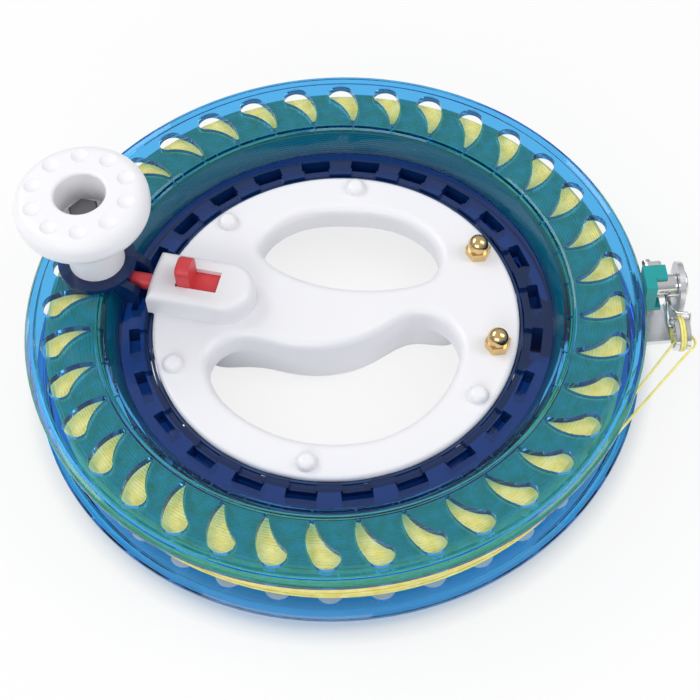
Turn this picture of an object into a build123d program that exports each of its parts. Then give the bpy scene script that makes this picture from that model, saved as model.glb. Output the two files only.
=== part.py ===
from build123d import *
from math import asin, cos, degrees, pi, radians, sin, sqrt
import os

# A kite line winder: a spool in two moulded halves that runs on a large ball race round a
# handle with finger holes. Z is the spool's axis, up is the side with the crank knob, and
# Z = 0 is the flat back of the grip, on which the winder rests. Millimetres.

# ---------------------------------------------------------------- driving dimensions
# spool
spool_r = 110.0            # outer radius of both flanges
spool_base = 6.0           # underside of the rear flange above the rest plane
spool_h = 28.0             # height over both flanges
flange_t = 3.0             # thickness of the flange plate
hole_count = 36            # comma holes in each flange
hole_tip_r = 86.5          # the thin end of each comma
hole_phase = 131.3         # angle of one comma tip
drum_r = 84.5              # surface under the line
bore_top_r = 81.2          # mouth of the bore, at the flange
bore_foot_r = 77.8         # foot of the tapered bore, at the hub ring
seat_lip = 0.6             # lip over the hub ring's edge
floor_depth = 9.5          # hub ring below the flange face
slot_count = 24            # slots in the hub ring
slot_phase = 2.2
slot_floor = 1.5           # web left under the slots
hub_inner_r = 67.6         # the hub ring's inner wall
line_r = 103.4             # outside of the wound line
line_d = 1.0
line_turns = 12            # turns in the outer layer
ease = 0.05                # radial clearance of pins, screws and seats

# ball race
race_outer_r = 65.7
race_inner_r = 63.0
race_half_h = 2.8
ball_d = 5.0
ball_count = 12
ball_pitch_r = 66.75
race_play = 0.06           # groove radius over the ball's

# handle
handle_r = 65.9            # edge of the handle plate
plate_top = 25.0           # front face of the handle
plate_back = 14.6          # back face of the handle round the grip
split_z = 20.0             # where the two handle shells meet, and the middle of the spool
shell_t = 2.4              # wall of the handle shells
hollow_r = 61.0            # inside of the shells' outer wall
rim_round = 3.6            # rounding round the two holes
grip_round = 4.0           # rounding round the grip's back
boss_angles = [79.0, 128.0, 194.0, 257.0, 321.6]  # the handle's screw bosses
boss_pitch_r = 60.3
bolt_places = [(54.1, 24.2), (56.4, -17.3)]      # the two cap-nut bolts of the guide bracket
bolt_d = 5.0
nut_flats = 8.0

# lock: local x runs outwards along the pin
lock_angle = 163.0
lock_travel = 8.5
pin_d = 6.0
pin_z = 28.5
pin_tip = 76.3
housing_top = 35.0
housing_w = 21.6
housing_end = 67.6         # outer end of the housing
housing_inner = 29.6       # its rounded inner end
window = (42.4, 57.6, 9.1)  # from, to, width
slider_w = 11.0
slider_x = (42.0, 60.5)
slider_z = (22.8, 32.9)
retainer_x = 46.5          # middle of the plate that closes the slider's channel

# crank knob
knob_angle = 162.4
knob_pitch_r = 88.3
knob_top = 73.5
knob_r = 23.7
knob_disc_t = 14.0
knob_neck_r = 10.1
knob_foot = 36.0
knob_recess_r = 9.0
knob_floor = 59.3          # floor of the recess over the axle's head
dimple_count = 10
dimple_pitch_r = 17.05
axle_d = 5.0
bush_r = 4.0
boss_r = 14.3              # bracket's round foot on the flange
boss_top = 35.8
plug_r = 6.2               # bracket's plug through the flange

# line guide
strip_t = 2.0              # stainless strip of the guide bracket
strip_low = 2.5            # its underside outside the spool
guide_y = 0.8              # the roller's axis runs along X
guide_z = 28.7
roller_r = 3.8
roller_x = (114.8, 122.2)
ear_x = 122.5              # inner face of the bracket's outer ear
ear_r = 8.0
block_x = 110.7            # inner side of the moulded block, just clear of the flanges
pin_r = 1.5
wire_d = 1.0
ring_place = (122.3, -15.0, 20.0)
ring_r = 6.0
ring_bore_r = 4.0
ring_w = 5.4
clip_z = 22.0              # the clip's pin, below the roller
clip_pin_r = 0.9
block_span = (20.7, 34.3)  # foot and top of the moulded block
block_half_w = 5.3
arm_x, arm_z = 118.8, 26.5  # reach and underside of the block's upper arm
foot_x = 116.8             # reach of its foot
pin_end = 111.5            # blind end of both pins' bores in the block
upright_x = (111.3, 118.3)
upright_t = 1.8
upright_top = 33.6
rivet_x, rivet_z = 112.7, (25.0, 32.3)
rivet_r = 1.0
rivet_depth = 3.6          # how far the rivets reach into the block

# ---------------------------------------------------------------- derived
spool_top = spool_base + spool_h
mid_z = spool_base + spool_h / 2
hub_top = spool_top - floor_depth
hub_back = spool_base + floor_depth
seat_r = bore_foot_r + seat_lip
ring_reach = sqrt((ring_place[1] - guide_y) ** 2 + (ring_place[2] - clip_z) ** 2)
clip_angle = degrees(asin((clip_z - ring_place[2]) / ring_reach))    # the clip's rest direction, below -Y
lock_frame = Rotation(0, 0, lock_angle)
knob_frame = Rotation(0, 0, knob_angle) * Pos(knob_pitch_r, 0, 0)

os.makedirs("parts", exist_ok=True)


def write(name, shape):
    """One named piece, or one group of like pieces, to its own file."""
    export_step(shape, f"parts/{name}.step")


def turned(points):
    """A solid of revolution about Z from a closed (radius, height) outline."""
    outline = Polyline(*[(r, 0, z) for r, z in points], close=True)
    return revolve(make_face(outline), Axis.Z)


def ring(outer, inner, low, high):
    """A plain flat ring about Z."""
    return Pos(0, 0, low) * extrude(Circle(outer) - Circle(inner), high - low)


def disc(radius, low, high):
    """A plain cylinder about Z between two heights."""
    return Pos(0, 0, low) * extrude(Circle(radius), high - low)


def bar(radius, x_from, x_to):
    """A round bar along X, to be placed by its caller."""
    return Pos(x_from, 0, 0) * Rotation(0, 90, 0) * extrude(Circle(radius), x_to - x_from)


def on_circle(radius, angle, z=0.0):
    return (radius * cos(radians(angle)), radius * sin(radians(angle)), z)


def group(pieces):
    """Like pieces that share a node stay separate solids."""
    return Compound(children=list(pieces))


# ---------------------------------------------------------------- spool
def comma():
    """One comma hole: a thin tip towards the axis, a round head outwards that leans
    counter-clockwise. Local y is radial and local x runs clockwise; five arcs close it."""
    tip = hole_tip_r
    back = ThreePointArc((0.45, tip + 0.45), (1.0, tip + 7.5), (-1.6, tip + 14.4))
    crown = ThreePointArc((-1.6, tip + 14.4), (-6.4, tip + 17.6), (-10.7, tip + 14.9))
    heel = ThreePointArc((-10.7, tip + 14.9), (-10.8, tip + 12.0), (-8.6, tip + 10.1))
    inside = ThreePointArc((-8.6, tip + 10.1), (-4.0, tip + 5.9), (-1.15, tip + 0.5))
    point = ThreePointArc((-1.15, tip + 0.5), (-0.32, tip - 0.15), (0.45, tip + 0.45))
    return make_face(Wire([back, crown, heel, inside, point]))


def comma_holes(z, height):
    """The ring of comma holes as one cutter, from z upwards."""
    one = Rotation(0, 0, hole_phase - 90) * comma()
    step = 360 / hole_count
    return Pos(0, 0, z) * group(extrude(Rotation(0, 0, n * step) * one, height) for n in range(hole_count))


def half_spool():
    """The front half: flange, rolled rim, shoulder with its groove, tapered bore with the
    lip that holds the hub ring, and the drum wall down to the joint in the middle."""
    face = spool_top
    profile = [
        (drum_r, mid_z), (drum_r, face - flange_t - 1.2), (drum_r + 1.2, face - flange_t),
        (spool_r - 3.4, face - flange_t), (spool_r - 2.6, face - flange_t - 0.5),
        (spool_r - 0.9, face - flange_t - 0.5), (spool_r, face - 2.7), (spool_r, face - 1.4),
        (spool_r - 0.8, face - 0.45), (spool_r - 2.0, face - 0.1), (spool_r - 3.0, face - 0.9),
        (spool_r - 3.6, face - 0.9), (spool_r - 4.2, face), (85.3, face), (84.4, face - 0.5), (84.1, face - 1.6),
        (83.5, face - 2.3), (82.3, face - 2.3), (82.0, face - 1.5), (bore_top_r, face - 1.7),
        (bore_foot_r, hub_top), (seat_r, hub_top), (seat_r, mid_z),
    ]
    return turned(profile) - comma_holes(face - 6, 8)


def groove_keys():
    """A short key bridges the shoulder's groove in line with every comma tip."""
    step = 360 / hole_count
    key = Pos(82.9, 0, spool_top - 2.1) * Box(2.4, 0.7, 1.1)
    return [Rotation(0, 0, hole_phase + n * step) * key for n in range(hole_count)]


def spool_halves():
    """Both halves are the same moulding, welded at the drum's middle, but the front one has
    keys across its groove and a round hole for the knob bracket's plug."""
    plain = half_spool()
    plug_hole = knob_frame * disc(plug_r, spool_top - flange_t - 1, spool_top + 1)
    front = plain + groove_keys() - plug_hole
    return front, mirror(plain, Plane.XY.offset(mid_z))


def hub_ring():
    """The ring between the drum wall and the ball race, trapped by the halves' lips. Slots
    sink almost to its back, every slot runs on inwards as a shallow pocket at the front, and
    the outer race groove is turned into its inner wall."""
    body = ring(seat_r - ease, hub_inner_r, hub_back, hub_top)
    step = 360 / slot_count
    slot = Pos(72.2, 0, hub_back + slot_floor) * extrude(Rectangle(3.8, 10.8), hub_top - hub_back)
    pocket = Pos(68.9, 0, hub_top - 1.6) * extrude(Rectangle(3.6, 9.4), 3)
    cuts = [Rotation(0, 0, n * step + slot_phase) * (slot + pocket) for n in range(slot_count)]
    groove = Pos(0, 0, mid_z) * Torus(ball_pitch_r, ball_d / 2 + race_play)
    return body - cuts - groove


def winding_core():
    """Everything under the outer layer of the wound line, as one plain ring."""
    low, high = winding_span()
    core = ring(line_r - line_d + 0.02, drum_r + 0.02, low, high)
    inner_corners = [e for e in core.edges().filter_by(GeomType.CIRCLE) if e.radius < drum_r + 1]
    return chamfer(inner_corners, 1.4)


def winding_span():
    gap = 0.35
    return spool_base + flange_t + gap, spool_top - flange_t - gap


def winding_turns():
    """The outer layer: one unbroken six-sided tube on a helix of half turns. Each half turn
    is a pair of tangent arcs in space that climbs by half the pitch, and both ends run
    straight for one diameter."""
    low, high = winding_span()
    centre_r = line_r - line_d / 2
    pitch = (high - low - line_d - 0.1) / (line_turns + 0.5)
    first_z = low + line_d / 2 + 0.05
    climb = pitch / (2 * pi * centre_r)
    points, tangents = [], []
    for n in range(2 * line_turns + 1):
        c, s = cos(pi * n), sin(pi * n)
        points.append(Vector(centre_r * c, centre_r * s, first_z + pitch * n / 2))
        tangents.append(Vector(-s, c, climb).normalized())
    edges = []
    for p, q, t, u in zip(points, points[1:], tangents, tangents[1:]):
        edges += biarc(p, t, q, u)
    start = points[0] - tangents[0] * line_d
    finish = points[-1] + tangents[-1] * line_d
    path = Wire([Edge.make_line(start, points[0]), *edges, Edge.make_line(points[-1], finish)])
    tube = sweep(Plane(origin=start, z_dir=tangents[0]) * RegularPolygon(line_d / 2, 6), path)
    print(f"outer layer: {line_turns} turns, pitch {pitch:.2f}, least gap to itself {own_gap(path):.2f}")
    return tube


def own_gap(path):
    """The least distance between turns: points of the centre line half a turn to one and a
    half turns apart, less the line's diameter."""
    per_turn = 48
    count = per_turn * line_turns
    points = [path.position_at(n / count) for n in range(count + 1)]
    half, later = per_turn // 2, 3 * per_turn // 2
    return min((p - q).length for n, p in enumerate(points) for q in points[n + half:n + later]) - line_d


def biarc(p, t, q, u):
    """Two tangent arcs that leave p along t and reach q along u."""
    v = q - p
    s = t + u
    a = 2 * (1 - t.dot(u))
    b = 2 * v.dot(s)
    c = -v.dot(v)
    d = -c / b if abs(a) < 1e-9 else (-b + sqrt(b * b - 4 * a * c)) / (2 * a)
    middle = (p + q) * 0.5 + (t - u) * (d / 2)
    return [Edge.make_tangent_arc(p, t, middle), Edge.make_tangent_arc(q, u * -1, middle)]


# ---------------------------------------------------------------- ball race
def race_inner_ring():
    """The steel inner race, clamped between the two handle shells."""
    body = ring(race_outer_r, race_inner_r, mid_z - race_half_h, mid_z + race_half_h)
    return body - Pos(0, 0, mid_z) * Torus(ball_pitch_r, ball_d / 2 + race_play)


def race_balls():
    places = [on_circle(ball_pitch_r, 360 / ball_count * n + 5, mid_z) for n in range(ball_count)]
    return group(Pos(*p) * Sphere(ball_d / 2) for p in places)


def race_cage():
    """A thin strip with a round window for every ball."""
    body = ring(67.2, 66.3, mid_z - 3.1, mid_z + 3.1)
    across = Pos(ball_pitch_r, 0, mid_z) * Rotation(0, 90, 0) * Cylinder(ball_d / 2 + 0.1, 4)
    return body - [Rotation(0, 0, 360 / ball_count * n + 5) * across for n in range(ball_count)]


# ---------------------------------------------------------------- handle
finger_hole = [
    (-25.2, 36.0), (-19.5, 44.0), (-9.0, 49.2), (7.0, 49.4), (24.0, 45.2), (35.0, 36.8), (39.8, 26.5),
    (36.8, 16.6), (27.0, 12.9), (13.0, 12.8), (-2.0, 15.9), (-15.0, 22.2), (-22.8, 29.0),
]
# the upper edge of the hand hole is the wavy side of the grip
hand_hole = [
    (-46.2, -16.5), (-43.0, -7.6), (-36.0, -4.0), (-28.0, -5.4), (-19.0, -9.0), (-8.0, -11.0), (2.0, -10.6),
    (11.0, -8.2), (19.0, -4.0), (26.0, -0.4), (33.5, -0.9), (40.5, -6.8), (43.2, -15.0), (41.0, -24.5),
    (35.4, -34.2), (25.5, -43.8), (12.0, -50.0), (-3.0, -51.0), (-16.5, -48.2), (-30.0, -41.0),
    (-41.0, -30.2),
]
# the thick grip between the two holes also carries the winder at rest
grip = [
    (-49.5, 7.0), (-46.0, 18.0), (-36.5, 25.5), (-25.5, 25.5), (-14.5, 20.0), (-2.0, 14.4), (13.0, 11.4),
    (27.0, 11.6), (36.0, 13.4), (42.5, 13.2), (46.6, 6.6), (42.5, 0.0), (35.5, 0.0), (27.0, 1.0),
    (18.0, -2.8), (10.0, -6.9), (1.5, -9.3), (-8.0, -9.6), (-18.0, -7.6), (-28.0, -4.2), (-38.0, -3.0),
    (-46.0, -1.0),
]


def smooth_face(points, grow=0.0):
    """The face inside a smooth closed curve through clockwise points, each moved outwards by
    the same amount, square to the line between its neighbours."""
    moved = []
    for n, (x, y) in enumerate(points):
        before, after = points[n - 1], points[(n + 1) % len(points)]
        run = Vector(after[0] - before[0], after[1] - before[1]).normalized()
        moved.append((x - run.Y * grow, y + run.X * grow))
    closed = Spline(moved, periodic=True)
    return make_face(Wire([closed.trim(0, 0.5), closed.trim(0.5, 1)]))


def through_holes(low, high, grow=0.0):
    """Both holes as one cutter, grown outwards where the walls round them are wanted."""
    faces = [smooth_face(finger_hole, grow), smooth_face(hand_hole, grow)]
    return group(Pos(0, 0, low) * extrude(face, high - low) for face in faces)


def at_bolts(shape):
    """One copy at each of the two bolts."""
    return group(Pos(x, y, 0) * shape for x, y in bolt_places)


def at_bosses(shape):
    """One copy at each of the handle's five screw bosses."""
    return group(Pos(*on_circle(boss_pitch_r, angle)) * shape for angle in boss_angles)


def screw_posts(low, high):
    """Posts inside the handle, round the bolts and the five screws."""
    return [*at_bolts(disc(5.2, low, high)), *at_bosses(disc(3.0, low, high))]


def housing_outline(shrink=0.0):
    """Plan of the lock's housing, in the lock's own frame: a bowed outer end, straight
    sides and a round inner end."""
    w = housing_w / 2 - shrink
    shoulder = housing_inner + 12.5
    far = housing_end - shrink
    return make_face(Wire([
        ThreePointArc((far - 0.6, -w), (far, 0), (far - 0.6, w)),
        Line((far - 0.6, w), (shoulder, w)),
        ThreePointArc((shoulder, w), (housing_inner + shrink, 0), (shoulder, -w)),
        Line((shoulder, -w), (far - 0.6, -w)),
    ]))


def lock_housing():
    """The raised block that holds the locking slider, rounded on top. Where it reaches past
    the plate's edge it stays just above the hub ring."""
    foot = plate_top - shell_t
    block = Pos(0, 0, foot) * extrude(housing_outline(), housing_top - foot)
    block = fillet(block.edges().group_by(Axis.Z)[-1], 3.2)
    block = lock_frame * block
    return block - ring(handle_r + 6, handle_r, foot - 1, hub_top + 0.4)


def lock_cavity():
    """The slider's channel, open below, with the window above and the pin's bore outwards."""
    half = slider_w / 2 + 0.15
    inner = slider_x[0] - lock_travel - 0.4
    channel = Pos((inner + slider_x[1] + 0.4) / 2, 0, 26.5) * Box(slider_x[1] + 0.4 - inner, 2 * half, 13.0)
    start, end, width = window
    slot = Pos((start + end) / 2, 0, 33.5) * Box(end - start, width, 6)
    bore = Pos(0, 0, pin_z) * bar(pin_d / 2 + ease, slider_x[1] - 1, housing_end + 2)
    return lock_frame * group([channel, slot, bore])


def retainer_screw_places():
    return [(48.0, 8.4), (48.0, -8.4)]


def front_shell():
    """Front half of the handle: a plate with a wall round its edge and round both holes,
    five domed bosses, and the lock's housing."""
    plate = disc(handle_r, split_z, plate_top)
    plate = fillet(plate.edges().group_by(Axis.Z)[-1], 1.6)
    plate -= through_holes(split_z - 1, plate_top + 1)
    top = plate.faces().sort_by(Axis.Z)[-1]
    rims = [e for w in top.inner_wires() for e in w.edges()]
    plate = fillet(rims, rim_round)
    walls = through_holes(split_z - 2, plate_top, rim_round + 1.0)
    plate -= disc(hollow_r, split_z - 1, plate_top - shell_t) - walls
    plate += screw_posts(split_z, plate_top - shell_t + 0.1)
    plate = plate + [*at_bosses(boss_dome())] + lock_housing()
    plate -= lock_cavity()
    plate -= ring(handle_r + 1, race_inner_r - ease, split_z - 1, mid_z + race_half_h + 0.02)
    plate -= at_bolts(disc(bolt_d / 2 + ease, split_z - 1, plate_top + 1))
    plate -= at_bosses(disc(1.5, split_z - 1, plate_top + 0.4))
    seat_h = plate_top - shell_t - split_z
    seat = Pos(retainer_x, 0, split_z - 1) * extrude(RectangleRounded(27.4, 21.4, 2.2), seat_h + 1)
    pilots = group(Pos(x, y, split_z - 1) * extrude(Circle(1.1), 10.2) for x, y in retainer_screw_places())
    return plate - lock_frame * seat - lock_frame * pilots


def boss_dome():
    """A low domed cap over a screw post, blended into the plate."""
    cap = disc(3.75, plate_top - 1, plate_top + 3)
    return fillet(cap.edges().group_by(Axis.Z)[-1], 2.6)


def rear_shell():
    """Rear half of the handle: the plate's back, and the deep hollow grip with rounded
    edges that the fingers close round."""
    plate = disc(handle_r, plate_back, split_z)
    plate = fillet(plate.edges().group_by(Axis.Z)[0], 1.4)
    handle_bar = extrude(smooth_face(grip), split_z)
    handle_bar = fillet(handle_bar.edges().group_by(Axis.Z)[0], grip_round)
    body = plate + handle_bar - through_holes(plate_back - 0.01, split_z + 1)
    floor = plate_back + shell_t
    body -= disc(hollow_r, floor, split_z + 1) - through_holes(floor - 1, split_z + 2, 3.0)
    body -= Pos(0, 0, 3.0) * extrude(smooth_face(grip, -3.4), split_z)
    body += screw_posts(plate_back + 0.1, split_z)
    body -= ring(handle_r + 1, race_inner_r - ease, mid_z - race_half_h - 0.02, split_z + 1)
    body -= at_bolts(disc(bolt_d / 2 + ease, plate_back - 1, split_z + 1))
    return body - at_bosses(disc(1.5, plate_back - 1, plate_back + 7) + disc(2.6, plate_back - 1, plate_back + 2))


def shell_screws():
    """Pan-head screws in counterbores of the rear shell, up into the front shell's posts."""
    seat = plate_back + 2
    screw = disc(1.45, seat, plate_top) + disc(2.5, seat - 1.8, seat)
    return at_bosses(screw)


# ---------------------------------------------------------------- lock
def lock_slider():
    """The red slider: a block in the housing, the locking pin on its outer end and the
    thumb tab that stands up through the window."""
    start, end = slider_x
    low, high = slider_z
    block = Pos((start + end) / 2, 0, (low + high) / 2) * Box(end - start, slider_w, high - low)
    pin = Pos(0, 0, pin_z) * bar(pin_d / 2, end - 1, pin_tip)
    pin = chamfer(pin.edges().group_by(Axis.X)[-1], 0.6)
    tab_t, tab_w, tab_top = 5.4, 8.7, 43.5
    tab_x = window[1] - 0.3 - tab_t / 2
    tab = Pos(tab_x, 0, (high + tab_top) / 2 - 0.5) * Box(tab_t, tab_w, tab_top - high + 1)
    tab = fillet(tab.edges().filter_by(Axis.X).group_by(Axis.Z)[-1], 3.0)
    tab = fillet(tab.edges().group_by(Axis.X)[-1].group_by(Axis.Z)[-1], 1.2)
    return lock_frame * (block + pin + tab)


def lock_retainer():
    """The plate that closes the slider's channel from inside the handle."""
    top = plate_top - shell_t
    plate = Pos(retainer_x, 0, top - 1.6) * extrude(RectangleRounded(27, 21, 2), 1.6)
    plate -= group(Pos(x, y, top - 2) * extrude(Circle(1.2), 3) for x, y in retainer_screw_places())
    return lock_frame * plate


def retainer_screws():
    top = plate_top - shell_t
    screw = disc(1.05, top - 1.6, top + 6.0) + disc(2.0, top - 2.6, top - 1.6)
    return group(lock_frame * Pos(x, y, 0) * screw for x, y in retainer_screw_places())


# ---------------------------------------------------------------- crank knob
def knob_bracket():
    """The bracket under the knob: a round foot on the flange with a plug through it, and two
    gusset wings that reach over the shoulder and down the bore on to the hub ring. The lock's
    pin stands between the wings."""
    plug = disc(plug_r - ease, spool_top - flange_t, spool_top + 1)
    foot = knob_frame * (disc(boss_r, spool_top, boss_top) + plug)
    wing_t, wing_y = 3.0, 4.9
    side = Polyline(
        (70.9, hub_top), (bore_top_r + 3, hub_top), (bore_top_r + 3, spool_top), (93.0, spool_top),
        (93.0, boss_top), (79.0, boss_top), (72.6, 32.4), (70.9, 30.0), close=True,
    )
    wing = extrude(Plane.XZ * make_face(side), wing_t)
    wings = Pos(0, wing_y + wing_t, 0) * wing + Pos(0, -wing_y, 0) * wing
    solid_spool = turned([
        (bore_foot_r, hub_top - 1), (bore_foot_r, hub_top), (bore_top_r, spool_top - 1.7),
        (bore_top_r, spool_top), (120, spool_top), (120, hub_top - 1),
    ])
    bracket = foot + (lock_frame * wings - solid_spool)
    pocket_plan = RegularPolygon(nut_flats / 2 + ease, 6, False)
    nut_pocket = Pos(0, 0, spool_top - flange_t - 1) * extrude(pocket_plan, 4.4)
    return bracket - knob_frame * (nut_pocket + disc(axle_d / 2 + ease, spool_top - 5, boss_top + 1))


def crank_knob():
    """A mushroom knob: slim neck, thick disc with soft edges, a deep recess over the axle's
    head, and ten finger dimples."""
    low = knob_top - knob_disc_t
    outline = Polyline(
        (bush_r, 0, knob_foot), (knob_neck_r, 0, knob_foot), (knob_neck_r, 0, low), (knob_r, 0, low),
        (knob_r, 0, knob_top), (knob_recess_r, 0, knob_top), (knob_recess_r, 0, knob_floor),
        (bush_r, 0, knob_floor), close=True,
    )
    knob = revolve(make_face(outline), Axis.Z)
    circles = knob.edges().filter_by(GeomType.CIRCLE)
    rim = [e for e in circles if abs(e.radius - knob_r) < 0.1]
    knob = fillet([e for e in rim if e.center().Z > low + 1], 5.0)
    circles = knob.edges().filter_by(GeomType.CIRCLE)
    knob = fillet([e for e in circles if abs(e.radius - knob_r) < 0.1 and abs(e.center().Z - low) < 0.1], 7.0)
    circles = knob.edges().filter_by(GeomType.CIRCLE)
    mouth = [e for e in circles if abs(e.radius - knob_recess_r) < 0.1 and e.center().Z > knob_top - 1]
    knob = fillet(mouth, 1.2)
    dimple_r, dimple_depth = 4.4, 1.5
    dimple = Pos(dimple_pitch_r, 0, knob_top + dimple_r - dimple_depth) * Sphere(dimple_r)
    knob -= [Rotation(0, 0, 360 / dimple_count * n) * dimple for n in range(dimple_count)]
    return knob_frame * knob


def knob_bush():
    """A plain sleeve pressed into the knob, which turns on the axle."""
    return knob_frame * ring(bush_r - 0.01, axle_d / 2 + ease, knob_foot, knob_floor)


def knob_axle():
    """A hex-head bolt down through washer, bush and bracket into the nut in the plug."""
    head_z = knob_floor + 1.2
    shank = disc(axle_d / 2, spool_top - flange_t + 0.3, head_z + 1)
    head = Pos(0, 0, head_z) * extrude(RegularPolygon(5.0, 6, False), 4.0)
    head = chamfer(head.edges().group_by(Axis.Z)[-1], 0.7)
    return knob_frame * (shank + head)


def knob_washer():
    return knob_frame * ring(7.5, axle_d / 2 + ease, knob_floor + 0.2, knob_floor + 1.2)


def knob_nut():
    """The hex nut moulded into the bracket's plug."""
    low = spool_top - flange_t + 0.3
    nut = Pos(0, 0, low) * extrude(RegularPolygon(nut_flats / 2, 6, False), 3.0)
    return knob_frame * (nut - disc(axle_d / 2 + ease, low - 1, low + 5))


# ---------------------------------------------------------------- guide bracket
def guide_bracket():
    """One bent stainless strip: a wide plate bolted to the handle's back, a step down past
    the bore, a run under the rear flange, and an ear turned up outside the spool."""
    back = plate_back - strip_t / 2
    low = strip_low + strip_t / 2
    ear = ear_x + strip_t / 2
    bends = [(47.6, 0, back), (70.6, 0, back), (75.4, 0, low), (ear, 0, low), (ear, 0, 40)]
    side = FilletPolyline(*bends, radius=2.4)
    profile = Plane(origin=side @ 0, x_dir=(0, 1, 0), z_dir=side % 0) * Rectangle(70, strip_t)
    strip = sweep(profile, path=side)
    plan = Polyline(
        (47.6, 30.6), (66.0, 30.6), (78.0, 12.0), (106.0, 8.8), (126.5, 8.8), (126.5, -7.2), (106.0, -7.2),
        (78.0, -11.0), (66.0, -23.8), (47.6, -23.8), close=True,
    )
    plan = make_face(plan)
    plan = fillet([v for v in plan.vertices() if v.X < 100], 5.0)
    strip &= extrude(plan, 45)
    end = guide_y + ear_r + 2
    lower = Pos(85, 0, guide_z / 2) * Box(90, 2 * end + 60, guide_z)
    round_top = Pos(0, guide_y, guide_z) * bar(ear_r, ear_x - 1, ear_x + strip_t + 1)
    strip &= lower + round_top
    strip -= Pos(0, guide_y, guide_z) * bar(pin_r + ease, ear_x - 1, ear_x + strip_t + 1)
    strip -= Pos(0, guide_y, clip_z) * bar(clip_pin_r + ease, ear_x - 1, ear_x + strip_t + 1)
    return strip - at_bolts(disc(bolt_d / 2 + ease, plate_back - 5, plate_back + 3))


def rivets(radius, y_from, y_to):
    """Two short bars along Y, at the places of the two rivets that hold the moulded block."""
    one = Rotation(-90, 0, 0) * extrude(Circle(radius), y_to - y_from)
    return group(Pos(rivet_x, y_from, z) * one for z in rivet_z)


def guide_upright():
    """A plate that stands on the strip behind the moulded block and carries it."""
    low, back = strip_low + strip_t, guide_y + block_half_w
    start, end = upright_x
    plate = Pos(start, back, low) * Box(end - start, upright_t, upright_top - low, align=Align.MIN)
    plate = fillet(plate.edges().filter_by(Axis.Y).group_by(Axis.Z)[-1], 2.0)
    return plate - rivets(rivet_r + ease, back - 1, back + upright_t + 1)


def block_rivets():
    """Two rivets through the upright into the block."""
    back = guide_y + block_half_w
    shanks = rivets(rivet_r, back - rivet_depth, back + upright_t)
    heads = rivets(rivet_r + 0.6, back + upright_t, back + upright_t + 0.9)
    return group(shank + head for shank, head in zip(shanks, heads))


def guide_block():
    """The moulded block, C-shaped in front: its back carries both pins, an arm reaches over
    the roller's end, and a short foot stands under the clip."""
    wide = 2 * block_half_w
    low, high = block_span
    seat_x = roller_x[0] - 0.2
    back = Box(seat_x - block_x, wide, high - low, align=Align.MIN)
    arm = Pos(0, 4.0, arm_z - low) * Box(arm_x - block_x, wide - 4.0, high - arm_z, align=Align.MIN)
    foot = Box(foot_x - block_x, wide, 1.6, align=Align.MIN)
    block = Pos(block_x, guide_y - block_half_w, low) * (back + arm + foot)
    block = fillet(block.edges().filter_by(Axis.X).group_by(Axis.Z)[-1], 1.2)
    block -= Pos(0, guide_y, guide_z) * bar(roller_r + 0.35, seat_x, ear_x)
    block -= Pos(0, guide_y, guide_z) * bar(pin_r + ease, pin_end, ear_x)
    block -= Pos(0, guide_y, clip_z) * bar(clip_pin_r + ease, pin_end, ear_x)
    back_y = guide_y + block_half_w
    return block - rivets(rivet_r + ease, back_y - rivet_depth - 0.1, back_y + 1)


def guide_pin():
    """The pin through block, roller and ear, riveted over outside the ear."""
    pin = bar(pin_r, pin_end + 0.1, ear_x + strip_t)
    cap = bar(5.0, ear_x + strip_t, ear_x + strip_t + 1.6)
    cap = fillet(cap.edges().group_by(Axis.X)[-1], 1.2)
    return Pos(0, guide_y, guide_z) * (pin + cap)


def clip_pin():
    """The thin pin below the roller that the wire clip swings on, flush with the ear."""
    return Pos(0, guide_y, clip_z) * bar(clip_pin_r, pin_end + 0.1, ear_x + strip_t)


def guide_roller():
    start, end = roller_x
    tube = bar(roller_r, start, end) - bar(pin_r + ease, start - 1, end + 1)
    return Pos(0, guide_y, guide_z) * tube


def clip_point(x, along, under):
    """A point of the wire clip: x on its pin's axis, the distance from that axis towards the
    ring, and the distance off the clip's middle plane, positive below."""
    a = radians(clip_angle)
    y = guide_y - along * cos(a) + under * sin(a)
    z = clip_z - along * sin(a) - under * cos(a)
    return (x, y, z)


def wire_clip():
    """A spring wire bent round its pin as a hairpin. One leg runs to the ring's inner end,
    the other steps sideways past the ear to its outer end, and both hook into the bore."""
    hook = ring_reach - (ring_bore_r - wire_d / 2 - 0.1)
    eye = clip_pin_r + wire_d / 2 + 0.15
    near_end, far_end = ring_place[0] - ring_w / 2 - 1.05, ring_place[0] + ring_w / 2 + 1.1
    route = [
        clip_point(120.9, hook, 0), clip_point(near_end, hook, 0), clip_point(119.3, 4.0, -eye),
        clip_point(119.3, -eye, -eye), clip_point(120.9, -eye, eye), clip_point(120.9, 4.0, eye),
        clip_point(120.8, 9.4, -4.3), clip_point(far_end, 10.5, -4.7), clip_point(far_end, hook, 0),
        clip_point(123.2, hook, 0),
    ]
    path = FilletPolyline(*route, radius=[0.9, 4.0, 1.5, 1.5, 2.2, 1.4, 1.2, 1.0])
    return sweep(Plane(origin=path @ 0, z_dir=path % 0) * Circle(wire_d / 2), path)


def guide_ring():
    """The eyelet that the line runs through, with a groove round its outside."""
    half = ring_w / 2
    body = ring(ring_r, ring_bore_r, -half, half)
    body = chamfer(body.edges().filter_by(GeomType.CIRCLE).group_by(SortBy.RADIUS)[0], 1.0)
    body -= Torus(ring_r + 0.5, 1.3)
    return Pos(*ring_place) * Rotation(0, 90, 0) * body


def bracket_bolts():
    """Two pan-head bolts up through strip and handle, into the acorn nuts."""
    seat = plate_back - strip_t
    bolt = disc(bolt_d / 2, seat, plate_top + 4.5) + disc(4.6, seat - 2.8, seat)
    bolt = fillet(bolt.edges().group_by(Axis.Z)[0], 1.4)
    return group(Pos(x, y, 0) * bolt for x, y in bolt_places)


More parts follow.
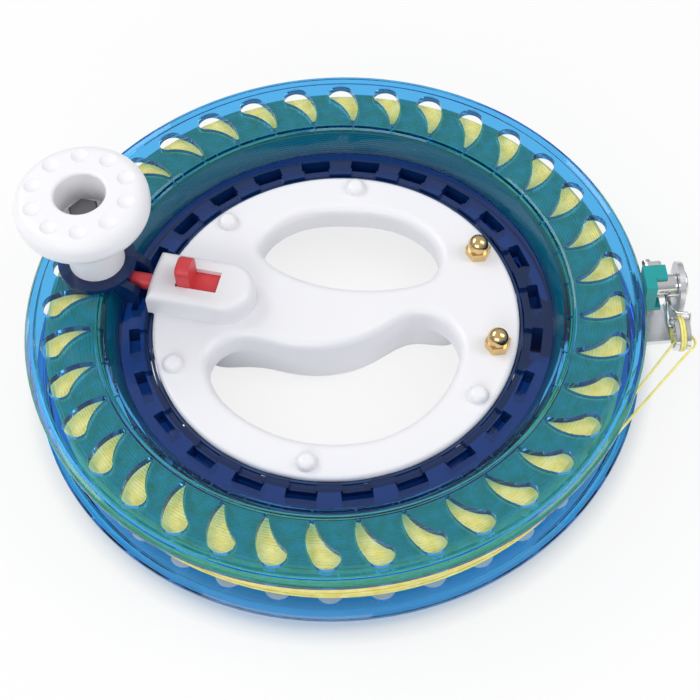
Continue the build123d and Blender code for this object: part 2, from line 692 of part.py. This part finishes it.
def acorn_nuts():
    """Hex base and domed cap, with a blind bore for the bolt."""
    base = Pos(0, 0, plate_top) * extrude(RegularPolygon(nut_flats / 2, 6, False), 3.6)
    dome_r = 3.7
    dome = disc(dome_r, plate_top + 3.0, plate_top + 5.0) + Pos(0, 0, plate_top + 5.0) * Sphere(dome_r)
    nut = base + (dome - disc(dome_r + 1, plate_top - 4, plate_top + 3.0))
    nut -= disc(bolt_d / 2 + ease, plate_top - 1, plate_top + 5.2)
    return group(Pos(x, y, 0) * nut for x, y in bolt_places)


# ---------------------------------------------------------------- line
def line_lead():
    """The free end of the line: it leaves the winding at a tangent, runs taut out through the
    ring, round the ring's near edge, and back to the winding."""
    reach = line_r + line_d / 2 + 0.4
    x, y, z = ring_place
    inside = Vector(x - 0.4, y - 0.9, z)
    outside = Vector(x + 1.6, y - 7.8, z - 0.4)
    start = tangent_point(inside, reach, 28.0)
    finish = tangent_point(outside, reach, 19.0)
    route = [
        start, inside, Vector(x + 3.9, y - 0.9, z), Vector(x + 5.0, y - 5.2, z), outside, finish,
    ]
    path = FilletPolyline(*route, radius=[2.6, 1.6, 1.6, 3.0])
    return sweep(Plane(origin=path @ 0, z_dir=path % 0) * Circle(line_d / 2), path)


def tangent_point(outer, radius, z):
    """Where a line from a point outside touches a circle about Z, on the clockwise side."""
    flat = sqrt(outer.X ** 2 + outer.Y ** 2)
    bearing = degrees(asin(outer.Y / flat)) - degrees(asin(sqrt(1 - (radius / flat) ** 2)))
    return Vector(*on_circle(radius, bearing, z))


def build():
    front, rear = spool_halves()
    write("spool_front_half", front)
    write("spool_rear_half", rear)
    pieces = [
        hub_ring, winding_core, winding_turns, race_inner_ring, race_balls, race_cage,
        front_shell, rear_shell, shell_screws, lock_slider, lock_retainer, retainer_screws,
        knob_bracket, crank_knob, knob_bush, knob_axle, knob_washer, knob_nut,
        guide_bracket, guide_upright, block_rivets, guide_block, guide_pin, clip_pin, guide_roller,
        wire_clip, guide_ring, bracket_bolts, acorn_nuts, line_lead,
    ]
    for piece in pieces:
        write(piece.__name__, piece())


build()
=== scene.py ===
"""A kite line winder: a clear blue spool full of yellow line, on a ball race round a white
handle, with a crank knob, a red sliding lock and a steel line guide. Metres, Z up."""
from math import cos, pi, radians, sin

import bpy
import numpy as np
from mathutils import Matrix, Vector


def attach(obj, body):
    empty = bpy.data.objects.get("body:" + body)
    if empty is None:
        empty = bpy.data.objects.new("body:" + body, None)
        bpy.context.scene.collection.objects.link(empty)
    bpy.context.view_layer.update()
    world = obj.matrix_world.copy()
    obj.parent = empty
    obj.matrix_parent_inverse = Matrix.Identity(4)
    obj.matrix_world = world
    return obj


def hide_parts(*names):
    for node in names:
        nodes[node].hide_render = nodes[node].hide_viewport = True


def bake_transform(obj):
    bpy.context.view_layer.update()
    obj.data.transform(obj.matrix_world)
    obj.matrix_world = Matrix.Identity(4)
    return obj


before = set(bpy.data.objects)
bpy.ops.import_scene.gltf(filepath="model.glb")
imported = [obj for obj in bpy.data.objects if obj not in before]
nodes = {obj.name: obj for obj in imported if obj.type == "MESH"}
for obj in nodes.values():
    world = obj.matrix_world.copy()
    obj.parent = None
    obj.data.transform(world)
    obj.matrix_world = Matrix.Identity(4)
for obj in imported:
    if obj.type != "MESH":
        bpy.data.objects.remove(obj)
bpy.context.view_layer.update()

# ---------------------------------------------------------------- camera
# A long lens above the near side of the handle, turned a little anticlockwise.
camera = bpy.data.objects.new("camera", bpy.data.cameras.new("camera"))
camera.data.lens = 84.056
camera.data.sensor_width = 36.0
camera.location = (0.0, -0.33757, 0.50446)
camera.rotation_euler = (radians(33.93849), radians(2.16843), radians(-3.98735))
bpy.context.scene.collection.objects.link(camera)
bpy.context.scene.camera = camera
bpy.context.scene.view_settings.view_transform = "Standard"

# ---------------------------------------------------------------- floor and light
# A white paper floor and three soft boxes under a pale room, brighter overhead than at the
# sides, so that metal has something dark to mirror. The floor is blown out to white, except
# close under the flanges, where the light that comes through them tints it.


def mesh_piece(name, points, faces):
    """A smooth mesh object at the origin from an (n, 3) array of points and lists of corners."""
    mesh = bpy.data.meshes.new(name)
    mesh.from_pydata(np.asarray(points).tolist(), [], [list(face) for face in faces])
    mesh.shade_smooth()
    piece = bpy.data.objects.new(name, mesh)
    bpy.context.scene.collection.objects.link(piece)
    return piece


def node_maker(tree):
    """A function that adds a shader node to this tree: sockets are linked, values are set."""
    def add(kind, values=None, **settings):
        node = tree.nodes.new("ShaderNode" + kind)
        for key, value in settings.items():
            setattr(node, key, value)
        for key, value in (values or {}).items():
            if isinstance(value, bpy.types.NodeSocket):
                tree.links.new(value, node.inputs[key])
            else:
                node.inputs[key].default_value = value
        return node
    return add


def new_finish(name):
    """An empty material, the function that adds its nodes, and one that shows a shader."""
    finish = bpy.data.materials.new(name)
    finish.use_nodes = True
    tree = finish.node_tree
    tree.nodes.clear()
    output = tree.nodes.new("ShaderNodeOutputMaterial")
    return finish, node_maker(tree), lambda shader: tree.links.new(shader, output.inputs["Surface"])


def maths(add, operation, first, second):
    """The outcome of one sum, from two sockets or values."""
    return add("Math", {0: first, 1: second}, operation=operation).outputs[0]


floor_half = 6.0
blown_share, tinted_share = 0.78, 0.12
under_in, under_out, fade_in, fade_out = 0.085, 0.112, 0.003, 0.004
floor_corners = np.array([(-1, -1, 0), (1, -1, 0), (1, 1, 0), (-1, 1, 0)]) * floor_half
floor = mesh_piece("floor", floor_corners, [(0, 1, 2, 3)])
floor_paper, add, show = new_finish("floor_paper")
path = add("LightPath").outputs
seen = maths(add, "MAXIMUM", path["Is Camera Ray"], path["Is Glossy Ray"])
seen = maths(add, "MAXIMUM", seen, path["Is Transmission Ray"])
reach = add("VectorMath", {0: add("TexCoord").outputs["Object"]}, operation="LENGTH").outputs["Value"]
inside = add("MapRange", {
    "Value": reach, "From Min": under_in - fade_in, "From Max": under_in + fade_in,
    "To Min": blown_share, "To Max": tinted_share,
})
outside = add("MapRange", {
    "Value": reach, "From Min": under_out - fade_out, "From Max": under_out + fade_out,
    "To Min": 0.0, "To Max": blown_share - tinted_share,
})
blown = maths(add, "ADD", inside.outputs[0], outside.outputs[0])
paper = add("BsdfDiffuse", {"Color": (0.86, 0.86, 0.87, 1)})
white = add("Emission", {"Color": (1, 1, 1, 1), "Strength": 1.0})
show(add("MixShader", {
    0: maths(add, "MULTIPLY", seen, blown), 1: paper.outputs[0], 2: white.outputs[0],
}).outputs[0])
floor.data.materials.append(floor_paper)

low_light, top_light = 0.30, 0.62
room = bpy.data.worlds.new("room")
bpy.context.scene.world = room
room.use_nodes = True
add = node_maker(room.node_tree)
background = room.node_tree.nodes["Background"]
up = add("SeparateXYZ", {0: add("TexCoord").outputs["Generated"]})
sky = add("MapRange", {
    "Value": up.outputs["Z"], "From Min": 0.0, "From Max": 0.8, "To Min": low_light, "To Max": top_light,
})
path = add("LightPath").outputs
fill = maths(add, "MULTIPLY", path["Is Diffuse Ray"], top_light)
light = maths(add, "MAXIMUM", sky.outputs[0], fill)
light = maths(add, "MAXIMUM", light, path["Is Camera Ray"])
room.node_tree.links.new(light, background.inputs["Strength"])
background.inputs["Color"].default_value = (1, 1, 1, 1)


def soft_box(name, place, size, power):
    """A rectangular area lamp that faces the origin."""
    lamp = bpy.data.objects.new(name, bpy.data.lights.new(name, "AREA"))
    lamp.data.shape = "RECTANGLE"
    lamp.data.size, lamp.data.size_y = size
    lamp.data.energy = power
    lamp.location = place
    lamp.rotation_euler = (-Vector(place)).to_track_quat("-Z", "Y").to_euler()
    bpy.context.scene.collection.objects.link(lamp)


soft_box("far_box", (-0.70, 0.45, 0.85), (0.8, 0.5), 4.6)
soft_box("right_box", (0.80, -0.10, 0.80), (0.5, 0.8), 3.2)
soft_box("near_box", (-0.35, -0.90, 0.60), (0.9, 0.5), 3.6)

# ---------------------------------------------------------------- free end of the line
# The kite line's free end leaves the winding taut, runs through the guide's ring, round its
# near edge and back on to the winding. Braided polyester, 1 mm thick.
line_d = 0.001
lead_route = [
    (0.0806, -0.06619, 0.0280), (0.1181, -0.0204, 0.02065), (0.1219, -0.0159, 0.0200),
    (0.1262, -0.0159, 0.0200), (0.1273, -0.0202, 0.0200), (0.1239, -0.0228, 0.0196),
    (0.1191, -0.0275, 0.01955), (0.07434, -0.07316, 0.0190),
]


def braided_line(name):
    """Pale yellow braid: fine strokes cross each other on the surface, with a soft sheen."""
    finish, add, show = new_finish(name)
    place = add("TexCoord").outputs["UV"]
    patchy = add("TexNoise", {"Vector": add("TexCoord").outputs["Object"], "Scale": 260.0, "Detail": 4.0})
    tone = add("ValToRGB", {"Fac": patchy.outputs["Fac"]})
    tone.color_ramp.elements[0].position, tone.color_ramp.elements[1].position = 0.30, 0.72
    tone.color_ramp.elements[0].color = (0.84, 0.73, 0.16, 1)
    tone.color_ramp.elements[1].color = (0.97, 0.91, 0.36, 1)
    stroke_a = add("TexWave", {"Vector": place, "Scale": 330.0, "Distortion": 0.6}, bands_direction="DIAGONAL")
    turned = add("Mapping", {"Vector": place, "Rotation": (0, 0, 1.9)})
    stroke_b = add("TexWave", {"Vector": turned.outputs[0], "Scale": 300.0, "Distortion": 0.6})
    weave = maths(add, "MAXIMUM", stroke_a.outputs["Fac"], stroke_b.outputs["Fac"])
    bump = add("Bump", {"Height": weave, "Strength": 0.7, "Distance": 0.00012})
    cloth = add("BsdfPrincipled", {
        "Base Color": tone.outputs["Color"], "Roughness": 0.55, "Sheen Weight": 0.35, "Normal": bump.outputs[0],
    })
    show(cloth.outputs[0])
    return finish


route = bpy.data.curves.new("line_route", "CURVE")
route.dimensions = "3D"
route.resolution_u = 16
strand = route.splines.new("NURBS")
strand.points.add(len(lead_route) - 1)
for point, place in zip(strand.points, lead_route):
    point.co = (*place, 1)
strand.order_u = 3
strand.use_endpoint_u = True
route_line = bpy.data.objects.new("line_route", route)
smooth_line = bpy.data.meshes.new_from_object(route_line)
path = np.array([vertex.co for vertex in smooth_line.vertices])
bpy.data.objects.remove(route_line)


def lay_uv(piece, corners, spare=0):
    """Gives a line's mesh its UV map, in metres along the line and round it. The last faces,
    with so many spare corners, stay at nought."""
    layer = piece.data.uv_layers.new(name="along_the_line")
    layer.data.foreach_set("uv", np.concatenate([corners.ravel(), np.zeros(2 * spare)]).astype(np.float32))


def cell_corners(u, next_u, v, next_v):
    """The four UV corners of each cell of a grid, one way round."""
    return np.stack([
        np.stack([u, v], axis=1), np.stack([next_u, v], axis=1),
        np.stack([next_u, next_v], axis=1), np.stack([u, next_v], axis=1),
    ], axis=1)


def line_tube(name, path, diameter, sides, up=(0, 0, 1)):
    """A round tube along a path: each ring stands square to the mean of the two runs that
    meet there, and both ends are closed. UV is the length along it and the way round it. The
    path never runs along up."""
    runs = np.diff(path, axis=0)
    runs /= np.linalg.norm(runs, axis=1)[:, None]
    ahead = np.vstack([runs[:1], runs[:-1] + runs[1:], runs[-1:]])
    ahead /= np.linalg.norm(ahead, axis=1)[:, None]
    side = np.cross(ahead, up)
    side /= np.linalg.norm(side, axis=1)[:, None]
    over = np.cross(side, ahead)
    turn = np.arange(sides) / sides * 2 * pi
    rings = (
        path[:, None, :] + diameter / 2 * side[:, None, :] * np.cos(turn)[None, :, None]
        + diameter / 2 * over[:, None, :] * np.sin(turn)[None, :, None]
    )
    i, j = np.meshgrid(np.arange(len(path) - 1), np.arange(sides), indexing="ij")
    i, j = i.ravel(), j.ravel()
    next_j = (j + 1) % sides
    faces = np.stack([i * sides + j, i * sides + next_j, (i + 1) * sides + next_j, (i + 1) * sides + j], axis=1)
    last = (len(path) - 1) * sides
    ends = [list(range(sides))[::-1], list(range(last, last + sides))]
    piece = mesh_piece(name, rings.reshape(-1, 3), faces.tolist() + ends)
    along = np.concatenate([[0], np.cumsum(np.linalg.norm(np.diff(path, axis=0), axis=1))])
    across = pi * diameter / sides
    corners = cell_corners(along[i], along[i + 1], j * across, (j + 1) * across)
    lay_uv(piece, corners[:, [0, 3, 2, 1]], spare=2 * sides)
    return piece


line_braid = braided_line("line_braid")
free_line = line_tube("free_line", path, line_d, sides=12)
free_line.data.materials.append(line_braid)
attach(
    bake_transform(free_line),
    "handle",
)
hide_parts("line_lead")

# ---------------------------------------------------------------- spool
# Two like halves moulded in clear blue plastic and welded at the middle of the drum. The line
# is wound tight against the drum, so its yellow turns show through the tapered bore.
wall_r, wall_band = 0.0845, 0.0001
weld_z, weld_band = 0.0200, 0.00005


def between(add, value, low, high):
    """1 where the value lies between two limits, else 0."""
    over = maths(add, "GREATER_THAN", value, low)
    return maths(add, "MULTIPLY", over, maths(add, "LESS_THAN", value, high))


def clear_plastic(name, tint, lamp_tint, rough, body, steep_solid, flat_solid, finish_glass=None):
    """Clear tinted plastic that bends light: tint is what a plate lets through, lamp_tint is
    its root, for the plain transparent shader by which lamps and daylight reach what is
    behind. The body, the plastic's own colour, is mixed in by one share on steep faces, where
    one looks along the plate, and another on flat ones. finish_glass may cover all that."""
    finish, add, show = new_finish(name)
    place = add("TexCoord")
    ripple = add("TexNoise", {"Vector": place.outputs["Object"], "Scale": 60.0, "Detail": 2.0})
    bump = add("Bump", {"Height": ripple.outputs["Fac"], "Strength": 0.10, "Distance": 0.0006})
    scuffs = add("TexNoise", {"Vector": place.outputs["Object"], "Scale": 700.0, "Detail": 5.0})
    haze = add("MapRange", {"Value": scuffs.outputs["Fac"], "To Min": rough, "To Max": rough * 3})
    glass = add("BsdfPrincipled", {
        "Base Color": tint, "Roughness": haze.outputs[0], "IOR": 1.49, "Transmission Weight": 1.0,
        "Normal": bump.outputs[0],
    })
    path = add("LightPath").outputs
    lamp = maths(add, "MAXIMUM", path["Is Shadow Ray"], path["Is Diffuse Ray"])
    through = add("BsdfTransparent", {"Color": lamp_tint})
    surface = add("MixShader", {0: lamp, 1: glass.outputs[0], 2: through.outputs[0]}).outputs[0]
    lean = add("SeparateXYZ", {0: add("NewGeometry").outputs["True Normal"]}).outputs["Z"]
    lean = add("Math", {0: lean}, operation="ABSOLUTE").outputs[0]
    share = add("MapRange", {
        "Value": lean, "From Min": 0.1, "From Max": 0.6, "To Min": steep_solid, "To Max": flat_solid,
    })
    dyed = add("BsdfPrincipled", {"Base Color": body, "Roughness": 0.15, "Normal": bump.outputs[0]})
    surface = add("MixShader", {0: share.outputs[0], 1: surface, 2: dyed.outputs[0]}).outputs[0]
    if finish_glass:
        surface = finish_glass(add, place, surface)
    show(surface)
    return finish


def wound_wall(add, place, surface):
    """The outside of the drum shows the turns pressed against it, as fine ridges up its height, in
    yellow seen through one more face of plastic. The ridges are drawn as bands of two tones, the
    darker ones painted shade between the turns. The weld doesn't show at all."""
    height = add("SeparateXYZ", {0: place.outputs["Object"]}).outputs["Z"]
    flat = add("VectorMath", {0: place.outputs["Object"], 1: (1, 1, 0)}, operation="MULTIPLY")
    reach = add("VectorMath", {0: flat.outputs[0]}, operation="LENGTH").outputs["Value"]
    drum = between(add, reach, wall_r - wall_band, wall_r + wall_band)
    turns = add("TexWave", {
        "Vector": place.outputs["Object"], "Scale": 300.0, "Distortion": 1.2,
    }, bands_direction="Z")
    # The darker of the two tones is painted shade between the turns.
    tone = add("MixRGB", {
        "Fac": turns.outputs["Fac"], "Color1": (0.02, 0.27, 0.15, 1), "Color2": (0.05, 0.54, 0.40, 1),
    })
    line = add("BsdfDiffuse", {"Color": tone.outputs[0]})
    surface = add("MixShader", {0: drum, 1: surface, 2: line.outputs[0]}).outputs[0]
    weld = between(add, height, weld_z - weld_band, weld_z + weld_band)
    gone = add("BsdfTransparent", {"Color": (1, 1, 1, 1)})
    return add("MixShader", {0: weld, 1: surface, 2: gone.outputs[0]}).outputs[0]


clear_blue = clear_plastic(
    "clear_blue", (0.080, 0.47, 0.90, 1), (0.28, 0.686, 0.95, 1), 0.02, body=(0.006, 0.075, 0.38, 1),
    steep_solid=0.40, flat_solid=0.0, finish_glass=wound_wall,
)
for half in ("spool_front_half", "spool_rear_half"):
    nodes[half].material_slots[0].material = clear_blue

# ---------------------------------------------------------------- hub ring
# A darker navy ring, slotted right round, trapped between the halves. The knob's bracket is
# moulded in the same navy plastic.
clear_navy = clear_plastic(
    "clear_navy", (0.006, 0.055, 0.30, 1), (0.08, 0.235, 0.55, 1), 0.05, body=(0.005, 0.045, 0.19, 1),
    steep_solid=0.50, flat_solid=0.32,
)
for navy in ("hub_ring", "knob_bracket"):
    nodes[navy].material_slots[0].material = clear_navy

# ---------------------------------------------------------------- wound line
# Several hundred metres of yellow line, wound to and fro. The bed, built here in place of the hidden
# imported winding, has its turns as ridges, seen through the flanges; loose outer turns cross on top of it.
drum_r, bed_r = 0.0846, 0.1019
bed_low, bed_high = 0.0099, 0.0301
bed_middle_r = 0.0930
bed_parts = 180
ridge_h = 0.00045
waver = 0.00022


def closed_grid(name, points, u, v):
    """A closed skin over a grid that wraps both ways: points[i, j], with u and v one longer
    than the grid on their own axis, so that the UV map doesn't turn back at the seams."""
    count_i, count_j = points.shape[:2]
    i, j = np.meshgrid(np.arange(count_i), np.arange(count_j), indexing="ij")
    i, j = i.ravel(), j.ravel()
    next_i, next_j = (i + 1) % count_i, (j + 1) % count_j
    faces = np.stack([
        i * count_j + j, next_i * count_j + j, next_i * count_j + next_j, i * count_j + next_j,
    ], axis=1)
    piece = mesh_piece(name, points.reshape(-1, 3), faces)
    lay_uv(piece, cell_corners(u[i], u[i + 1], v[j], v[j + 1]))
    return piece


def ridged(start, end, count, level, lift):
    """Rounded ridges side by side: places from start to end, and heights above level, each
    ridge half an ellipse of the given lift."""
    across = np.array([0.03, 0.18, 0.38, 0.62, 0.82, 0.97])
    steps = (np.arange(count)[:, None] + across[None, :]).ravel() / count
    heights = np.tile(np.sqrt(1 - (2 * across - 1) ** 2), count) * lift
    return start + (end - start) * steps, level + heights


top_r, top_z = ridged(drum_r + 0.0004, bed_r, 17, bed_high, ridge_h)
side_z, side_r = ridged(bed_high, bed_low, 20, bed_r, ridge_h)
low_r, low_z = ridged(bed_r, drum_r + 0.0004, 17, bed_low, -ridge_h)
section_r = np.concatenate([top_r, side_r, low_r, [drum_r, drum_r]])
section_z = np.concatenate([top_z, side_z, low_z, [bed_low, bed_high]])
around = np.arange(bed_parts + 1) / bed_parts * 2 * pi
angle = around[:-1, None]
# The turns waver five times round, but not on the outside nor against the drum.
drift = waver * np.sin(5 * angle + section_r * 900)
loose = (section_r > drum_r + 0.0003) & (section_r < bed_r)
bed_points_r = section_r + drift * loose
bed_points = np.stack([
    bed_points_r * np.cos(angle), bed_points_r * np.sin(angle), np.broadcast_to(section_z, bed_points_r.shape),
], axis=2)
step = np.hypot(np.diff(section_r, append=section_r[0]), np.diff(section_z, append=section_z[0]))
line_bed = closed_grid(
    "line_bed", bed_points[:, ::-1], around * bed_middle_r, np.concatenate([[0], np.cumsum(step)])
)
line_bed.data.materials.append(line_braid)


def crossing_turns(count, sides, parts):
    """Closed loops of line round the bed, each a tilted circle: its height is a sine of the
    angle with its own phase and tilt, so that neighbours cross at a small angle. They lie in
    three layers, and the golden section spreads their heights over the bed."""
    chance = np.random.default_rng(7)
    k = np.arange(count)
    tilt = 0.0012 + 0.0028 * chance.random(count)
    middle = bed_low + 0.0005 + tilt + (bed_high - bed_low - 0.001 - 2 * tilt) * ((k * 0.618) % 1.0)
    phase = chance.random(count) * 2 * pi
    radius = bed_r + 0.0003 * (1 + k % 3)
    turn = np.arange(parts) / parts * 2 * pi
    round_it = np.arange(sides) / sides * 2 * pi
    height = middle[:, None] + tilt[:, None] * np.sin(turn[None, :] + phase[:, None])
    z = height[:, :, None] + line_d / 2 * np.sin(round_it)
    out = np.broadcast_to(radius[:, None, None] + line_d / 2 * np.cos(round_it), z.shape)
    points = np.stack([out * np.cos(turn)[None, :, None], out * np.sin(turn)[None, :, None], z], axis=3)
    i, j, n = np.meshgrid(np.arange(count), np.arange(parts), np.arange(sides), indexing="ij")
    i, j, n = i.ravel(), j.ravel(), n.ravel()

    def corner(part, side):
        return (i * parts + part % parts) * sides + side % sides

    faces = np.stack([corner(j, n), corner(j + 1, n), corner(j + 1, n + 1), corner(j, n + 1)], axis=1)
    piece = mesh_piece("crossing_turns", points.reshape(-1, 3), faces)
    along, across = 2 * pi * bed_r / parts, pi * line_d / sides
    lay_uv(piece, cell_corners(j * along, (j + 1) * along, n * across, (n + 1) * across))
    return piece


turns = crossing_turns(count=66, sides=5, parts=144)
turns.data.materials.append(line_braid)
for wound in (line_bed, turns):
    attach(wound, "spool")
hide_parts("winding_core")
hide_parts("winding_turns")

# ---------------------------------------------------------------- handle
# Two white moulded shells screwed together from behind: a plate with two holes and a thick
# hollow grip between them. Slightly satin, with the faint unevenness of a moulding.


def moulded(name, dark, pale, roughness):
    """Solid moulded plastic: a cloudy change of tone, a fine grain and a soft gloss."""
    finish, add, show = new_finish(name)
    place = add("TexCoord").outputs["Object"]
    cloud = add("TexNoise", {"Vector": place, "Scale": 22.0, "Detail": 3.0})
    tone = add("MixRGB", {"Fac": cloud.outputs["Fac"], "Color1": dark, "Color2": pale})
    fine = add("TexNoise", {"Vector": place, "Scale": 1400.0, "Detail": 2.0})
    sink = add("TexNoise", {"Vector": place, "Scale": 45.0, "Detail": 1.0})
    low = add("Bump", {"Height": sink.outputs["Fac"], "Strength": 0.25, "Distance": 0.0008})
    bump = add("Bump", {
        "Height": fine.outputs["Fac"], "Strength": 0.35, "Distance": 0.00003, "Normal": low.outputs[0],
    })
    shine = add("MapRange", {
        "Value": fine.outputs["Fac"], "To Min": roughness - 0.06, "To Max": roughness + 0.06,
    })
    plastic = add("BsdfPrincipled", {
        "Base Color": tone.outputs[0], "Roughness": shine.outputs[0], "Normal": bump.outputs[0],
    })
    show(plastic.outputs[0])
    return finish


white_moulded = moulded("white_moulded", (0.80, 0.80, 0.845, 1), (0.86, 0.86, 0.885, 1), 0.34)
for shell in ("front_shell", "rear_shell", "lock_retainer"):
    nodes[shell].material_slots[0].material = white_moulded

# ---------------------------------------------------------------- lock
# A red slider under the housing: its pin locks the spool by standing between the wings of
# the knob's bracket, and the thumb tab stands up through the window.
red_moulded = moulded("red_moulded", (0.62, 0.035, 0.045, 1), (0.74, 0.075, 0.085, 1), 0.38)
nodes["lock_slider"].material_slots[0].material = red_moulded

# ---------------------------------------------------------------- crank knob
# A turned-looking white mushroom knob on a steel axle; the bolt's dark head and its washer
# show at the bottom of the deep recess. Inside is a plain bush of the same family.
white_knob = moulded("white_knob", (0.82, 0.82, 0.86, 1), (0.87, 0.87, 0.895, 1), 0.42)
nodes["crank_knob"].material_slots[0].material = white_knob
bush_plastic = moulded("bush_plastic", (0.62, 0.61, 0.58, 1), (0.70, 0.69, 0.66, 1), 0.5)
nodes["knob_bush"].material_slots[0].material = bush_plastic


def bare_metal(name, tone, roughness, stretch, depth):
    """Bare metal: fine lines along one axis, from noise drawn out by stretch, change the
    tone, the roughness and the normal a little."""
    finish, add, show = new_finish(name)
    place = add("Mapping", {"Vector": add("TexCoord").outputs["Object"], "Scale": stretch})
    lines = add("TexNoise", {"Vector": place.outputs[0], "Scale": 1.0, "Detail": 4.0})
    dark = tuple(0.78 * c for c in tone)
    colour = add("MixRGB", {"Fac": lines.outputs["Fac"], "Color1": (*dark, 1), "Color2": (*tone, 1)})
    shine = add("MapRange", {
        "Value": lines.outputs["Fac"], "To Min": roughness * 0.7, "To Max": roughness * 1.4,
    })
    bump = add("Bump", {"Height": lines.outputs["Fac"], "Strength": 0.4, "Distance": depth})
    metal = add("BsdfPrincipled", {
        "Base Color": colour.outputs[0], "Metallic": 1.0, "Roughness": shine.outputs[0],
        "Normal": bump.outputs[0],
    })
    show(metal.outputs[0])
    return finish


dull_steel = bare_metal("dull_steel", (0.15, 0.15, 0.155), 0.38, (900, 900, 900), 0.00004)
for worn in ("knob_axle", "knob_nut"):
    nodes[worn].material_slots[0].material = dull_steel
bright_steel = bare_metal("bright_steel", (0.86, 0.87, 0.89), 0.10, (120, 900, 900), 0.00001)

# ---------------------------------------------------------------- ball race
# Twelve bright balls in a thin navy cage, between the handle's steel ring and the groove in the
# hub ring. The ring's dark steel and the cage's dark navy are painted shade for the gap between
# the handle and the hub ring.
nodes["race_balls"].material_slots[0].material = bright_steel
# Dark steel as painted shade in the gap round the handle.
gap_shade_steel = bare_metal("gap_shade_steel", (0.16, 0.17, 0.19), 0.35, (700, 700, 700), 0.00002)
nodes["race_inner_ring"].material_slots[0].material = gap_shade_steel
# Dark navy as painted shade in the same gap.
gap_shade_cage = moulded("gap_shade_cage", (0.006, 0.035, 0.13, 1), (0.010, 0.05, 0.17, 1), 0.45)
nodes["race_cage"].material_slots[0].material = gap_shade_cage

# ---------------------------------------------------------------- line guide
# A bent stainless strip carries an upright and a turned-up ear. Between them a teal block, a
# polished roller and the wire clip with its steel ring guide the line.
brushed_strip = bare_metal("brushed_strip", (0.88, 0.89, 0.91), 0.30, (40, 1400, 1400), 0.00002)
for strip in ("guide_bracket", "guide_upright"):
    nodes[strip].material_slots[0].material = brushed_strip
teal_block = moulded("teal_block", (0.004, 0.27, 0.28, 1), (0.010, 0.36, 0.36, 1), 0.36)
nodes["guide_block"].material_slots[0].material = teal_block
for bright in ("guide_pin", "clip_pin", "guide_roller", "wire_clip", "guide_ring"):
    nodes[bright].material_slots[0].material = bright_steel

# ---------------------------------------------------------------- turns on the ring
# Two tight turns of the same line lie side by side in the groove of the guide's ring; the
# first crosses over into the second at the far side, where it stands alone.
ring_middle = np.array([0.1223, -0.0150, 0.0200])
groove_lane, groove_r = 0.0005, 0.00595
turned = np.radians(np.linspace(30, 690, 133))
crossed = np.clip((turned - radians(330)) / radians(60), 0, 1)
lane = groove_lane * (2 * crossed - 1)
ring_path = ring_middle + np.stack([lane, groove_r * np.cos(turned), groove_r * np.sin(turned)], axis=1)
ring_turns = line_tube("ring_turns", ring_path, line_d, sides=10, up=(1, 0, 0))
ring_turns.data.materials.append(line_braid)
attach(ring_turns, "clip")

# ---------------------------------------------------------------- fasteners
# Zinc-plated screws and rivets, and two polished brass acorn nuts on the handle's face.
polished_brass = bare_metal("polished_brass", (0.86, 0.62, 0.30), 0.14, (700, 700, 700), 0.00001)
nodes["acorn_nuts"].material_slots[0].material = polished_brass
plated = bare_metal("plated", (0.66, 0.66, 0.68), 0.24, (800, 800, 800), 0.00002)
for fastener in ("shell_screws", "retainer_screws", "bracket_bolts", "block_rivets", "knob_washer"):
    nodes[fastener].material_slots[0].material = plated
